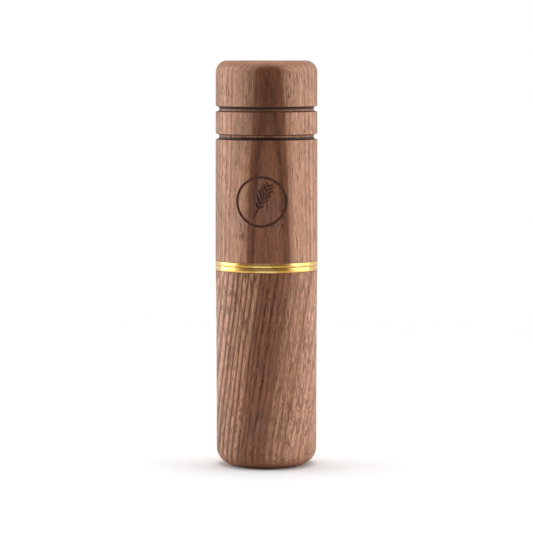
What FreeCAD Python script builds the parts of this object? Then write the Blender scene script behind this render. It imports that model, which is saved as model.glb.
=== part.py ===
"""Duck call: a turned walnut barrel on a turned walnut insert, with a brass band on each side of the joint.

The barrel pulls off upwards.  Under it stand the moulded tone board, which plugs into the insert, two
O-rings that grip the barrel's bore, and two reeds held in the board's notch by a cork wedge.

Frame: the call stands on its exhaust end.  +Z runs up its axis to the mouthpiece, the origin is the
middle of the exhaust face, and -Y is the front, where the emblem is cut and where the reeds face.
All lengths are millimetres.
"""

import FreeCAD, Part
import math
import os

import Sketcher

PARTS_FOLDER = "parts"

# Driving dimensions: alias, value, what it measures.
DIMENSIONS = [
    ("call_length", 128.0, "exhaust face to mouthpiece rim"),
    ("joint_height", 63.66, "exhaust face to the plane where barrel and insert meet"),
    ("joint_clearance", 0.02, "air between the barrel's and the insert's end faces"),
    ("barrel_radius", 16.0, "barrel at the mouthpiece"),
    ("barrel_foot_radius", 16.15, "barrel where it swells to its band"),
    ("barrel_bore_radius", 7.94, "bore that the O-rings seal in"),
    ("chamber_height", 118.5, "exhaust face to the shoulder at the top of the barrel's bore"),
    ("bore_lead_in", 0.6, "chamfer that lets the O-rings into the bore"),
    ("mouth_radius", 6.35, "mouthpiece bore"),
    ("dish_radius", 10.6, "dished mouthpiece, at the rim"),
    ("dish_depth", 5.2, "dished mouthpiece, below the rim"),
    ("dish_curve", 8.5, "section radius of the dish"),
    ("dish_edge_round", 0.9, "inner edge of the mouthpiece rim"),
    ("rim_round", 3.6, "outer edge of the mouthpiece rim"),
    ("lanyard_height", 104.15, "exhaust face to the lower lanyard groove"),
    ("lanyard_pitch", 8.7, "between the two lanyard grooves"),
    ("lanyard_half_width", 0.86, "lanyard groove, half its width"),
    ("lanyard_wall", 0.38, "straight part of the lanyard groove's side"),
    ("lanyard_curve", 0.88, "section radius of the lanyard groove's floor"),
    ("band_seat_radius", 14.0, "wood spigots that the bands sit on"),
    ("band_fit", 0.04, "glue gap inside each band"),
    ("band_reveal", 0.04, "each band's set-back from the joint plane"),
    ("band_round", 0.34, "outer edges of the bands"),
    ("barrel_band_radius", 16.22, "outside of the barrel's band"),
    ("barrel_band_rise", 1.34, "joint plane to the top of the barrel's band"),
    ("insert_band_radius", 16.17, "outside of the insert's band"),
    ("insert_band_drop", 1.59, "joint plane to the foot of the insert's band"),
    ("wood_edge_round", 0.22, "wood edges beside the bands"),
    ("insert_radius", 15.9, "insert, along most of its length"),
    ("insert_shoulder_radius", 16.1, "insert where it swells to its band"),
    ("swell_length", 19.0, "length over which the insert swells"),
    ("base_round", 5.6, "outer edge of the exhaust end"),
    ("exhaust_radius", 4.76, "exhaust bore"),
    ("bell_radius", 8.0, "exhaust bell at the exhaust face"),
    ("bell_length", 21.0, "length of the exhaust bell"),
    ("bell_curve", 72.0, "section radius of the exhaust bell"),
    ("bell_edge_round", 0.8, "inner edge of the exhaust end"),
    ("socket_radius", 6.5, "socket for the tone board's spigot"),
    ("socket_depth", 21.6, "depth of that socket"),
    ("spigot_radius", 6.46, "tone board's spigot"),
    ("spigot_length", 21.0, "tone board's spigot"),
    ("tenon_radius", 7.85, "tenon that fits the barrel's bore"),
    ("tenon_length", 18.0, "tenon, up from the joint plane"),
    ("tenon_edge", 0.4, "chamfer on the tenon's upper edge"),
    ("board_radius", 7.2, "back of the tone board"),
    ("board_length", 34.0, "tone board, up from the tenon"),
    ("board_tip_round", 3.0, "tip of the tone board"),
    ("face_drop", 1.05, "how far the board's face curves away from the reeds"),
    ("face_run_out", 1.0, "how far past the tip that is measured"),
    ("notch_depth", 7.0, "cork notch, down into the tenon"),
    ("notch_root", 1.7, "opening of the notch at its bottom"),
    ("notch_mouth", 4.2, "opening of the notch at the tenon's end"),
    ("channel_root_radius", 3.8, "air channel through spigot and tenon"),
    ("channel_tip_radius", 2.6, "air channel at its closed end"),
    ("channel_set_back", 10.5, "closed end of the air channel, below the board's tip"),
    ("ring_section_radius", 0.89, "O-ring section"),
    ("ring_outer_radius", 7.9, "outside of an O-ring in its groove"),
    ("ring_groove_floor", 6.1, "floor of an O-ring groove"),
    ("ring_groove_width", 2.2, "O-ring groove"),
    ("ring_groove_rise", 2.0, "joint plane to the lower O-ring groove"),
    ("ring_groove_pitch", 4.7, "between the O-ring grooves"),
    ("reed_width", 13.0, "both reeds"),
    ("reed_tail_gap", 0.35, "bottom of the notch to the reeds' tails"),
    ("reed_rest_gap", 0.1, "board to long reed, at rest"),
    ("reed_spacing", 0.1, "long reed to short reed, the dimple's height"),
    ("long_reed_length", 40.0, "long reed"),
    ("long_reed_thickness", 0.3, "long reed"),
    ("short_reed_length", 35.4, "short reed"),
    ("short_reed_thickness", 0.25, "short reed"),
    ("reed_tip_round", 2.6, "corners of the reeds' free ends"),
    ("reed_tail_cut", 1.0, "corners of the reeds' tails"),
    ("dimple_radius", 0.9, "dimple that keeps the reeds apart"),
    ("dimple_set_back", 5.0, "dimple, below the short reed's tip"),
    ("cork_width", 12.4, "cork wedge"),
    ("cork_clearance", 0.04, "air between the cork and the short reed"),
    ("cork_nose", 3.6, "how far the cork stands out of the notch"),
    ("cork_nose_height", 3.2, "outer face of the cork at its nose"),
    ("cork_round", 0.8, "cork's outer edges"),
    ("emblem_height", 84.3, "exhaust face to the emblem's centre"),
    ("emblem_radius", 8.0, "emblem ring, outside"),
    ("emblem_line", 0.8, "emblem ring's line width"),
    ("emblem_depth", 0.32, "how deep the emblem is cut"),
    ("feather_tilt", 24.0, "feather's lean, in degrees"),
    ("feather_length", 12.0, "feather's quill"),
    ("quill_width", 0.5, "feather's quill"),
    ("barb_reach", 3.4, "longest barb"),
    ("barb_half_width", 0.34, "barbs"),
    ("barb_lean", 38.0, "barb's angle from the quill, in degrees"),
]

BARB_PAIRS = 6
BARB_START = 0.30  # first barb, as a share of the quill from its foot
BARB_SPAN = 0.62  # barbs cover this share of the quill
SWELL_START = 0.22  # the barbs' lengths follow this part of a half sine wave
SWELL_SPAN = 0.62
CHANNEL_END_SLACK = 1.02  # the channel's end arc, against the channel's radius there
OVERSHOOT = 1.0  # how far a cutter stands past the material it cuts
CLOSE = 1e-4  # lengths nearer than this are the same
ALONG = 0.99  # least cosine between an edge and the axis it follows


class Size:
    """A length that knows its value and the sheet expression that drives it."""

    def __init__(self, value, text):
        self.value = value
        self.text = text

    def _with(self, sign, other, result):
        other_text = other.text if isinstance(other, Size) else repr(float(other))
        return Size(result, f"({self.text} {sign} {other_text})")

    def __add__(self, other):
        return self._with("+", other, self.value + number(other))

    def __sub__(self, other):
        return self._with("-", other, self.value - number(other))

    def __mul__(self, other):
        return self._with("*", other, self.value * number(other))

    def __truediv__(self, other):
        return self._with("/", other, self.value / number(other))

    def __neg__(self):
        return Size(-self.value, f"(0 - {self.text})")


def number(size):
    return size.value if isinstance(size, Size) else float(size)


def same(first, second):
    return abs(first - second) < CLOSE


def sine(angle):
    """Sine of a Size that is an angle in degrees."""
    return Size(math.sin(math.radians(angle.value)), f"sin({angle.text} * 1 deg)")


def cosine(angle):
    """Cosine of a Size that is an angle in degrees."""
    return Size(math.cos(math.radians(angle.value)), f"cos({angle.text} * 1 deg)")


class Sizes:
    """The sheet's cells by alias, each as a Size."""

    def __init__(self, sheet):
        self.sheet = sheet

    def __getattr__(self, alias):
        return Size(float(getattr(self.sheet, alias)), f"{self.sheet.Name}.{alias}")


def make_sheet(doc):
    sheet = doc.addObject("Spreadsheet::Sheet", "Dimensions")
    for row, (alias, value, meaning) in enumerate(DIMENSIONS, start=1):
        sheet.set(f"A{row}", alias)
        sheet.set(f"B{row}", str(value))
        sheet.setAlias(f"B{row}", alias)
        sheet.set(f"C{row}", meaning)
    doc.recompute()
    return Sizes(sheet)


# ---------------------------------------------------------------- helpers


def bind(feature, **properties):
    """Drives each named property of a feature by a Size."""
    for name, size in properties.items():
        setattr(feature, name, number(size))
        feature.setExpression(name, size.text)


def place(feature, **coordinates):
    """Drives the feature's place by Sizes, given as x, y or z."""
    for axis, size in coordinates.items():
        feature.setExpression(f".Placement.Base.{axis}", size.text)


def origin_feature(body, role):
    return next(item for item in body.Origin.OriginFeatures if item.Role == role)


def arc_middle(start, end, radius, side):
    """Middle of the short arc from start to end: side is 1 to bulge right of the way there, -1 left."""
    chord = end - start
    rise = radius - math.sqrt(radius * radius - chord.Length * chord.Length / 4)
    across = FreeCAD.Vector(chord.y, -chord.x, 0).normalize()
    return (start + end) / 2 + across * (rise * side)


def fix(sketch, *constraint):
    """Adds a constraint whose last term is a Size, and drives it by the sheet."""
    *terms, size = constraint
    index = sketch.addConstraint(Sketcher.Constraint(*terms, number(size)))
    if isinstance(size, Size):
        sketch.setExpression(f"Constraints[{index}]", size.text)


def pin(sketch, geometry, vertex, across, up):
    """Fixes a vertex by its two coordinates; a zero puts it on the sketch's axis."""
    for direction, axis, size in (("DistanceX", -2, across), ("DistanceY", -1, up)):
        if number(size) == 0:
            sketch.addConstraint(Sketcher.Constraint("PointOnObject", geometry, vertex, axis))
        else:
            fix(sketch, direction, -1, 1, geometry, vertex, size)


def new_sketch(body, name, plane):
    sketch = body.newObject("Sketcher::SketchObject", name)
    sketch.AttachmentSupport = (origin_feature(body, plane), [""])
    sketch.MapMode = "FlatFace"
    return sketch


def outline(body, name, plane, corners, arcs=()):
    """A closed sketch through corners, each a pair of Sizes, on one of the body's origin planes.

    Each of arcs is (corner, radius, side): the edge that leaves that corner is an arc.
    """
    sketch = new_sketch(body, name, plane)
    curved = {corner: (radius, side) for corner, radius, side in arcs}
    points = [FreeCAD.Vector(number(across), number(up), 0) for across, up in corners]
    leaving = []  # the vertex of each edge that is its corner: an arc may be stored end first
    for corner, start in enumerate(points):
        end = points[(corner + 1) % len(points)]
        if corner in curved:
            radius, side = curved[corner]
            sketch.addGeometry(Part.Arc(start, arc_middle(start, end, number(radius), side), end))
        else:
            sketch.addGeometry(Part.LineSegment(start, end))
        leaving.append(1 if sketch.getPoint(corner, 1).distanceToPoint(start) < CLOSE else 2)
    for corner, vertex in enumerate(leaving):
        following = (corner + 1) % len(points)
        joined = Sketcher.Constraint("Coincident", corner, 3 - vertex, following, leaving[following])
        sketch.addConstraint(joined)
    for corner, (across, up) in enumerate(corners):
        pin(sketch, corner, leaving[corner], across, up)
    for corner, (radius, _) in curved.items():
        fix(sketch, "Radius", corner, radius)
    return sketch


def new_body(doc, name):
    body = doc.addObject("PartDesign::Body", name)
    body.Label = name
    return body


def turn(body, kind, name, sketch):
    """A Revolution or a Groove of a sketch about the call's axis."""
    feature = body.newObject(f"PartDesign::{kind}", name)
    feature.Profile = sketch
    feature.ReferenceAxis = (sketch, ["V_Axis"])
    feature.Angle = 360
    sketch.Visibility = False
    body.Document.recompute()
    return feature


def circles_at(shape, radius, height):
    """Names of the circular edges of that radius at that height."""
    found = []
    for index, edge in enumerate(shape.Edges, start=1):
        curve = edge.Curve
        if not isinstance(curve, Part.Circle):
            continue
        if same(curve.Radius, number(radius)) and same(curve.Center.z, number(height)):
            found.append(f"Edge{index}")
    return found


def straight_edges(shape, wanted):
    """Names of the straight edges whose middle point passes the test wanted."""
    return [
        f"Edge{index}"
        for index, edge in enumerate(shape.Edges, start=1)
        if isinstance(edge.Curve, Part.Line)
        and wanted(edge.CenterOfMass, edge.tangentAt(edge.FirstParameter))
    ]


def dress(body, kind, name, edges, size):
    """A Fillet or a Chamfer of the tip's edges."""
    if not edges:
        raise RuntimeError(f"{body.Label}: no edge was found for {name}")
    feature = body.newObject(f"PartDesign::{kind}", name)
    feature.Base = (feature.BaseFeature or body.Tip, edges)
    bind(feature, **{"Radius" if kind == "Fillet" else "Size": size})
    body.Document.recompute()
    return feature


def round_circle(body, name, radius, height, size):
    """Rounds the turned edge at that radius and height."""
    return dress(body, "Fillet", name, circles_at(body.Tip.Shape, radius, height), size)


def repeat_up(body, name, feature, pitch):
    """Repeats a turned cut once, a pitch higher."""
    pattern = body.newObject("PartDesign::LinearPattern", name)
    pattern.Originals = [feature]
    pattern.Direction = (origin_feature(body, "Z_Axis"), [""])
    pattern.Occurrences = 2
    bind(pattern, Length=pitch)
    body.Tip = pattern
    body.Document.recompute()
    return pattern


# ---------------------------------------------------------------- barrel and its band


def barrel_blank(doc, s):
    """The turned barrel, before the emblem is cut."""
    body = new_body(doc, "barrel_blank")
    foot = s.joint_height + s.joint_clearance
    band_top = s.joint_height + s.barrel_band_rise
    corners = [
        (s.barrel_bore_radius + s.bore_lead_in, foot),
        (s.band_seat_radius, foot),
        (s.band_seat_radius, band_top),
        (s.barrel_foot_radius, band_top),
        (s.barrel_radius, s.call_length),
        (s.dish_radius, s.call_length),
        (s.mouth_radius, s.call_length - s.dish_depth),
        (s.mouth_radius, s.chamber_height),
        (s.barrel_bore_radius, s.chamber_height),
        (s.barrel_bore_radius, foot + s.bore_lead_in),
    ]
    section = outline(body, "barrel_section", "XZ_Plane", corners, [(5, s.dish_curve, 1)])
    turn(body, "Revolution", "turned_barrel", section)
    round_circle(body, "rim", s.barrel_radius, s.call_length, s.rim_round)
    round_circle(body, "dish_edge", s.dish_radius, s.call_length, s.dish_edge_round)
    round_circle(body, "foot_edge", s.barrel_foot_radius, band_top, s.wood_edge_round)
    groove = turn(body, "Groove", "lanyard_groove", lanyard_section(body, s))
    repeat_up(body, "lanyard_grooves", groove, s.lanyard_pitch)
    return body


def lanyard_section(body, s):
    """Round-bottomed groove: straight sides, then an arc across its floor."""
    low = s.lanyard_height - s.lanyard_half_width
    high = s.lanyard_height + s.lanyard_half_width
    side_radius = s.barrel_radius - s.lanyard_wall
    outside = s.barrel_foot_radius + OVERSHOOT
    corners = [(outside, low), (outside, high), (side_radius, high), (side_radius, low)]
    return outline(body, "lanyard_section", "XZ_Plane", corners, [(2, s.lanyard_curve, 1)])


def barrel(doc, s):
    """The barrel with its emblem cut into the front."""
    blank = barrel_blank(doc, s)
    cut = doc.addObject("Part::Cut", "barrel")
    cut.Base = blank
    cut.Tool = emblem_cutter(doc, s)
    return cut


def band(doc, s, name, outer_radius, low, high):
    """A brass ring with rounded outer edges."""
    body = new_body(doc, name)
    inner_radius = s.band_seat_radius + s.band_fit
    corners = [(inner_radius, low), (outer_radius, low), (outer_radius, high), (inner_radius, high)]
    turn(body, "Revolution", f"turned_{name}", outline(body, f"{name}_section", "XZ_Plane", corners))
    edges = circles_at(body.Tip.Shape, outer_radius, low) + circles_at(body.Tip.Shape, outer_radius, high)
    dress(body, "Fillet", f"{name}_edges", edges, s.band_round)
    return body


def barrel_band(doc, s):
    low = s.joint_height + s.band_reveal
    high = s.joint_height + s.barrel_band_rise
    return band(doc, s, "barrel_band", s.barrel_band_radius, low, high)


def insert_band(doc, s):
    low = s.joint_height - s.insert_band_drop
    high = s.joint_height - s.band_reveal
    return band(doc, s, "insert_band", s.insert_band_radius, low, high)


# ---------------------------------------------------------------- emblem


def extruded(doc, name, flat):
    """Pushes a flat outline through the front of the barrel, along +Y."""
    solid = doc.addObject("Part::Extrusion", name)
    solid.Base = flat
    solid.DirMode = "Custom"
    solid.Dir = FreeCAD.Vector(0, 1, 0)
    solid.Solid = True
    flat.Visibility = False
    return solid


def emblem_ring(doc, s):
    """The emblem's round border, a ring whose axis is Y."""
    discs = []
    sizes = (("ring_outside", s.emblem_radius), ("ring_inside", s.emblem_radius - s.emblem_line))
    for name, radius in sizes:
        disc = doc.addObject("Part::Cylinder", name)
        disc.Placement.Rotation = FreeCAD.Rotation(FreeCAD.Vector(1, 0, 0), -90)
        bind(disc, Radius=radius, Height=s.barrel_foot_radius)
        place(disc, y=-(s.barrel_foot_radius + OVERSHOOT), z=s.emblem_height)
        discs.append(disc)
    ring = doc.addObject("Part::Cut", "emblem_ring")
    ring.Base, ring.Tool = discs
    return ring


def leaf(doc, s, name, half_length, half_width, along, lean, hand):
    """One pointed-oval stroke of the feather, its near end at a place along the quill.

    along is measured from the emblem's centre up the quill, lean is the stroke's angle from the quill
    in degrees, and hand is 1 for the right of the quill, -1 for the left and 0 for the quill itself.
    """
    tilt = s.feather_tilt
    heading = tilt + lean * hand
    flat = doc.addObject("Part::Ellipse", f"{name}_outline")
    bind(flat, MajorRadius=half_length, MinorRadius=half_width)
    # The oval lies in XY: its long axis is turned to the heading, then it is stood up in the XZ plane.
    standing = FreeCAD.Rotation(FreeCAD.Vector(1, 0, 0), 90)
    turned = FreeCAD.Rotation(FreeCAD.Vector(0, 0, 1), 90 - number(heading))
    flat.Placement.Rotation = standing * turned
    reach = abs(hand)
    across = sine(tilt) * along + sine(heading) * half_length * reach
    up = cosine(tilt) * along + cosine(heading) * half_length * reach
    place(flat, x=across, y=-(s.barrel_foot_radius + OVERSHOOT), z=s.emblem_height + up)
    stroke = extruded(doc, name, flat)
    bind(stroke, LengthFwd=s.barrel_foot_radius)
    return stroke


def feather(doc, s):
    """A quill with pairs of barbs that are longest in the middle."""
    nothing = s.feather_length * 0
    strokes = [leaf(doc, s, "quill", s.feather_length / 2, s.quill_width / 2, nothing, s.barb_lean, 0)]
    for pair in range(BARB_PAIRS):
        share = pair / (BARB_PAIRS - 1)
        along = s.feather_length * (BARB_START + BARB_SPAN * share - 0.5)
        swelling = math.sin(math.pi * (SWELL_START + SWELL_SPAN * share))
        for side, hand in (("left", -1), ("right", 1)):
            name = f"barb_{side}_{pair + 1}"
            half_length = s.barb_reach * (swelling / 2)
            strokes.append(leaf(doc, s, name, half_length, s.barb_half_width, along, s.barb_lean, hand))
    return strokes


def emblem_skin(doc, s):
    """The shell of barrel, as deep as the emblem, that limits the cut."""
    surface = s.barrel_foot_radius + (s.barrel_radius - s.barrel_foot_radius) * (
        (s.emblem_height - s.joint_height) / (s.call_length - s.joint_height)
    )
    height = (s.emblem_radius + OVERSHOOT) * 2
    tubes = []
    for name, radius in (("skin_outside", surface + OVERSHOOT), ("skin_inside", surface - s.emblem_depth)):
        tube = doc.addObject("Part::Cylinder", name)
        bind(tube, Radius=radius, Height=height)
        place(tube, z=s.emblem_height - height / 2)
        tubes.append(tube)
    skin = doc.addObject("Part::Cut", "emblem_skin")
    skin.Base, skin.Tool = tubes
    return skin


def emblem_cutter(doc, s):
    """Ring and feather, wrapped to the barrel's surface."""
    marks = doc.addObject("Part::MultiFuse", "emblem_marks")
    marks.Shapes = [emblem_ring(doc, s), *feather(doc, s)]
    cutter = doc.addObject("Part::Common", "emblem_cutter")
    cutter.Base = marks
    cutter.Tool = emblem_skin(doc, s)
    return cutter


# ---------------------------------------------------------------- insert and tone board


def insert(doc, s):
    """The turned insert, with the exhaust bell below and the tone board's socket above."""
    body = new_body(doc, "insert")
    band_foot = s.joint_height - s.insert_band_drop
    socket_floor = s.joint_height - s.socket_depth
    corners = [
        (s.bell_radius, s.bell_radius * 0),
        (s.insert_radius, s.bell_radius * 0),
        (s.insert_radius, s.joint_height - s.swell_length),
        (s.insert_shoulder_radius, band_foot),
        (s.band_seat_radius, band_foot),
        (s.band_seat_radius, s.joint_height),
        (s.socket_radius, s.joint_height),
        (s.socket_radius, socket_floor),
        (s.exhaust_radius, socket_floor),
        (s.exhaust_radius, s.bell_length),
    ]
    section = outline(body, "insert_section", "XZ_Plane", corners, [(9, s.bell_curve, 1)])
    turn(body, "Revolution", "turned_insert", section)
    level = s.bell_radius * 0
    round_circle(body, "base_edge", s.insert_radius, level, s.base_round)
    round_circle(body, "bell_edge", s.bell_radius, level, s.bell_edge_round)
    round_circle(body, "shoulder_edge", s.insert_shoulder_radius, band_foot, s.wood_edge_round)
    return body


def tone_board(doc, s):
    """Moulded tone board: spigot below, tenon with two O-ring grooves, and above it the board itself."""
    body = new_body(doc, "tone_board")
    spigot_foot = s.joint_height - s.spigot_length
    tenon_top = s.joint_height + s.tenon_length
    tip = tenon_top + s.board_length
    corners = [
        (s.tenon_radius * 0, spigot_foot),
        (s.spigot_radius, spigot_foot),
        (s.spigot_radius, s.joint_height),
        (s.tenon_radius, s.joint_height),
        (s.tenon_radius, tenon_top),
        (s.board_radius, tenon_top),
        (s.board_radius, tip),
        (s.tenon_radius * 0, tip),
    ]
    turn(body, "Revolution", "moulded_blank", outline(body, "board_section", "XZ_Plane", corners))
    round_circle(body, "tip_edge", s.board_radius, tip, s.board_tip_round)
    tenon_edge = circles_at(body.Tip.Shape, s.tenon_radius, tenon_top)
    dress(body, "Chamfer", "tenon_edge", tenon_edge, s.tenon_edge)
    cut_face(body, s, tenon_top, tip)
    cut_channel(body, s, spigot_foot, tenon_top, tip)
    groove = turn(body, "Groove", "ring_groove", ring_groove_section(body, s))
    repeat_up(body, "ring_grooves", groove, s.ring_groove_pitch)
    return body


def cut_face(body, s, tenon_top, tip):
    """Cuts the board's long curved face and, below it, the notch that holds reeds and cork."""
    notch_floor = tenon_top - s.notch_depth
    run = tip + s.face_run_out - notch_floor
    face_curve = (run * run + s.face_drop * s.face_drop) / (s.face_drop * 2)
    outside = -(s.tenon_radius + OVERSHOOT)
    corners = [
        (s.face_drop * 0, notch_floor),
        (s.face_drop, tip + s.face_run_out),
        (outside, tip + s.face_run_out),
        (outside, tenon_top),
        (-s.notch_mouth, tenon_top),
        (-s.notch_root, notch_floor),
    ]
    sketch = outline(body, "face_section", "YZ_Plane", corners, [(0, face_curve, -1)])
    face = body.newObject("PartDesign::Pocket", "face_and_notch")
    face.Profile = sketch
    face.SideType = "Symmetric"
    bind(face, Length=(s.tenon_radius + OVERSHOOT) * 2)
    sketch.Visibility = False
    body.Document.recompute()


def cut_channel(body, s, spigot_foot, tenon_top, tip):
    """The air channel: a tapering bore that the board's face lays open."""
    closed_end = tip - s.channel_set_back
    axis = s.channel_root_radius * 0
    corners = [
        (axis, spigot_foot - OVERSHOOT),
        (s.channel_root_radius, spigot_foot - OVERSHOOT),
        (s.channel_root_radius, tenon_top),
        (s.channel_tip_radius, closed_end - s.channel_tip_radius),
        (axis, closed_end),
    ]
    end_curve = s.channel_tip_radius * CHANNEL_END_SLACK
    section = outline(body, "channel_section", "XZ_Plane", corners, [(3, end_curve, 1)])
    turn(body, "Groove", "air_channel", section)


def ring_groove_section(body, s):
    low = s.joint_height + s.ring_groove_rise
    high = low + s.ring_groove_width
    outside = s.tenon_radius + OVERSHOOT
    corners = [(s.ring_groove_floor, low), (outside, low), (outside, high), (s.ring_groove_floor, high)]
    return outline(body, "ring_groove_section", "XZ_Plane", corners)


def o_ring(doc, s, name, step):
    """An O-ring in the middle of its groove, a number of groove pitches above the lower one."""
    ring = doc.addObject("Part::Torus", name)
    bind(ring, Radius1=s.ring_outer_radius - s.ring_section_radius, Radius2=s.ring_section_radius)
    groove_middle = s.joint_height + s.ring_groove_rise + s.ring_groove_width / 2
    place(ring, z=groove_middle + s.ring_groove_pitch * step)
    return ring


# ---------------------------------------------------------------- reeds and cork


def reed_tail(s):
    """Height of the reeds' tails, just clear of the notch's floor."""
    return s.joint_height + s.tenon_length - s.notch_depth + s.reed_tail_gap


def reed(doc, s, name, length, thickness, back):
    """A flat leaf with round free corners; back is how far its rear face stands in front of the board."""
    body = new_body(doc, name)
    tail = reed_tail(s)
    side = s.reed_width / 2
    corners = [(-side, tail), (side, tail), (side, tail + length), (-side, tail + length)]
    leaf_pad = body.newObject("PartDesign::Pad", f"{name}_leaf")
    leaf_pad.Profile = outline(body, f"{name}_outline", "XZ_Plane", corners)
    bind(leaf_pad, Length=thickness)
    place(body, y=-back)
    doc.recompute()
    middle = number(tail + length / 2)

    def corner_edge(above):
        return lambda centre, way: abs(way.y) > ALONG and (centre.z > middle) == above

    upper = straight_edges(body.Tip.Shape, corner_edge(True))
    dress(body, "Fillet", f"{name}_tip", upper, s.reed_tip_round)
    lower = straight_edges(body.Tip.Shape, corner_edge(False))
    dress(body, "Chamfer", f"{name}_tail", lower, s.reed_tail_cut)
    return body


def long_reed(doc, s):
    return reed(doc, s, "long_reed", s.long_reed_length, s.long_reed_thickness, s.reed_rest_gap)


def short_reed(doc, s):
    """The short reed, with the dimple that keeps it off the long one."""
    back = s.reed_rest_gap + s.long_reed_thickness + s.reed_spacing
    body = reed(doc, s, "short_reed", s.short_reed_length, s.short_reed_thickness, back)
    sketch = new_sketch(body, "dimple_outline", "XZ_Plane")
    height = reed_tail(s) + s.short_reed_length - s.dimple_set_back
    centre = FreeCAD.Vector(0, number(height), 0)
    sketch.addGeometry(Part.Circle(centre, FreeCAD.Vector(0, 0, 1), number(s.dimple_radius)))
    pin(sketch, 0, 3, height * 0, height)
    fix(sketch, "Radius", 0, s.dimple_radius)
    dimple = body.newObject("PartDesign::Pad", "dimple")
    dimple.Profile = sketch
    dimple.Reversed = True
    bind(dimple, Length=s.reed_spacing)
    sketch.Visibility = False
    doc.recompute()
    return body


def cork_wedge(doc, s):
    """The wedge that fills the notch in front of the reeds and stands a little out of it."""
    body = new_body(doc, "cork_wedge")
    foot = reed_tail(s)
    tenon_top = s.joint_height + s.tenon_length
    nose = tenon_top + s.cork_nose
    reeds_front = s.reed_rest_gap + s.long_reed_thickness + s.reed_spacing + s.short_reed_thickness
    inner = -(reeds_front + s.cork_clearance)
    # The notch's roof rises evenly from its root to its mouth; the cork follows it down to its foot.
    foot_outer = -(s.notch_root + (s.notch_mouth - s.notch_root) * (s.reed_tail_gap / s.notch_depth))
    corners = [
        (inner, foot),
        (inner, nose),
        (-s.cork_nose_height, nose),
        (-s.notch_mouth, tenon_top),
        (foot_outer, foot),
    ]
    wedge = body.newObject("PartDesign::Pad", "wedge")
    wedge.Profile = outline(body, "cork_section", "YZ_Plane", corners)
    wedge.SideType = "Symmetric"
    bind(wedge, Length=s.cork_width)
    doc.recompute()

    def nose_edge(centre, way):
        at_nose = same(centre.z, number(nose)) and same(centre.y, -number(s.cork_nose_height))
        return at_nose and abs(way.x) > ALONG

    dress(body, "Fillet", "cork_nose", straight_edges(body.Tip.Shape, nose_edge), s.cork_round)
    return body


# ---------------------------------------------------------------- document


def build(doc):
    """Every sub-part of the call, as objects of the document."""
    s = make_sheet(doc)
    return [
        barrel(doc, s),
        barrel_band(doc, s),
        insert(doc, s),
        insert_band(doc, s),
        tone_board(doc, s),
        cork_wedge(doc, s),
        long_reed(doc, s),
        short_reed(doc, s),
        o_ring(doc, s, "lower_o_ring", 0),
        o_ring(doc, s, "upper_o_ring", 1),
    ]


def check(doc, pieces):
    """Stops unless every object was built and every piece is one or more closed, valid solids."""
    for item in doc.Objects:
        if "Invalid" in item.State or "Error" in item.State:
            raise RuntimeError(f"{item.Label} failed: {item.State}")
    for piece in pieces:
        shape = piece.Shape
        if shape.isNull() or not shape.isValid() or not shape.Solids:
            raise RuntimeError(f"{piece.Label} has no valid solid")
        box = shape.BoundBox
        print(f"{piece.Label:14s} volume {shape.Volume:9.1f}  z {box.ZMin:7.2f} to {box.ZMax:7.2f}")


def main():
    doc = FreeCAD.newDocument("duck_call")
    pieces = build(doc)
    doc.recompute()
    check(doc, pieces)
    os.makedirs(PARTS_FOLDER, exist_ok=True)
    for piece in pieces:
        piece.Shape.exportStep(os.path.join(PARTS_FOLDER, f"{piece.Label}.step"))


main()
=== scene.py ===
"""Duck call: the looks of a turned walnut call with two brass bands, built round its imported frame.

Every length is in metres, but the finishes work in millimetres.  +Z runs up the call's axis to the
mouthpiece and -Y is the front, with the emblem.  The turned pieces are drawn as an outline in the plane of
radius and height and spun round the axis.  The tone board and the reeds keep their own meshes and get
new finishes.
"""

import math

import bmesh
import bpy
from bpy.props import FloatProperty, FloatVectorProperty, IntProperty, PointerProperty
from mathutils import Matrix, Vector


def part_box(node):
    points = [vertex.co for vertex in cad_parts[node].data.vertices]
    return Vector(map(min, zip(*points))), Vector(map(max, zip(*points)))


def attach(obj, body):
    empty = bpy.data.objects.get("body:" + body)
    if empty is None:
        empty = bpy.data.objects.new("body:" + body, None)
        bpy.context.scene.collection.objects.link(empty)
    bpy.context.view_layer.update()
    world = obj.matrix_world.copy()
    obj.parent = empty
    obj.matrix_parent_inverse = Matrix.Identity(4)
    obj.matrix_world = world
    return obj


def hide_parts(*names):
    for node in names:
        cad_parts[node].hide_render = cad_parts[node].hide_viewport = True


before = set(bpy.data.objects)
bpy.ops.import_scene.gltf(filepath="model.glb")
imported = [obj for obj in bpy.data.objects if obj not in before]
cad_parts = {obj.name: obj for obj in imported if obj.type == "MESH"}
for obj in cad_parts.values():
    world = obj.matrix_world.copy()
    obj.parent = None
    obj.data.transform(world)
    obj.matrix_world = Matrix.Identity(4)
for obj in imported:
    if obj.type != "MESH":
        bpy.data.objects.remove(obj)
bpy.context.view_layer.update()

bl_info = {
    "name": "Duck Call",
    "version": (1, 0, 0),
    "blender": (4, 5, 0),
    "location": "3D View > Sidebar > Duck Call",
    "description": "Builds the pieces and finishes of a turned walnut duck call",
    "category": "Object",
}

MM = 0.001
FULL_TURN = 2 * math.pi
QUARTER_TURN = math.pi / 2
SAME_PLACE = MM / 10000  # vertices of a turned piece nearer than this are one
BAND_FIT = 0.04 * MM  # glue gap inside a band
WHITE = (1, 1, 1, 1)
FLOOR_TINT = (0.86, 0.86, 0.86, 1)


# ---------------------------------------------------------------- settings


def length(name, description, millimetres):
    """A distance property, its default given in millimetres."""
    return FloatProperty(
        name=name, description=description, default=millimetres * MM, subtype="DISTANCE", unit="LENGTH"
    )


def degrees(name, description, value):
    """An angle property, its default given in degrees."""
    return FloatProperty(
        name=name, description=description, default=math.radians(value), subtype="ANGLE", unit="ROTATION"
    )


def share(name, description, value):
    """A property from 0 to 1."""
    return FloatProperty(name=name, description=description, default=value, min=0, max=1, subtype="FACTOR")


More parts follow.
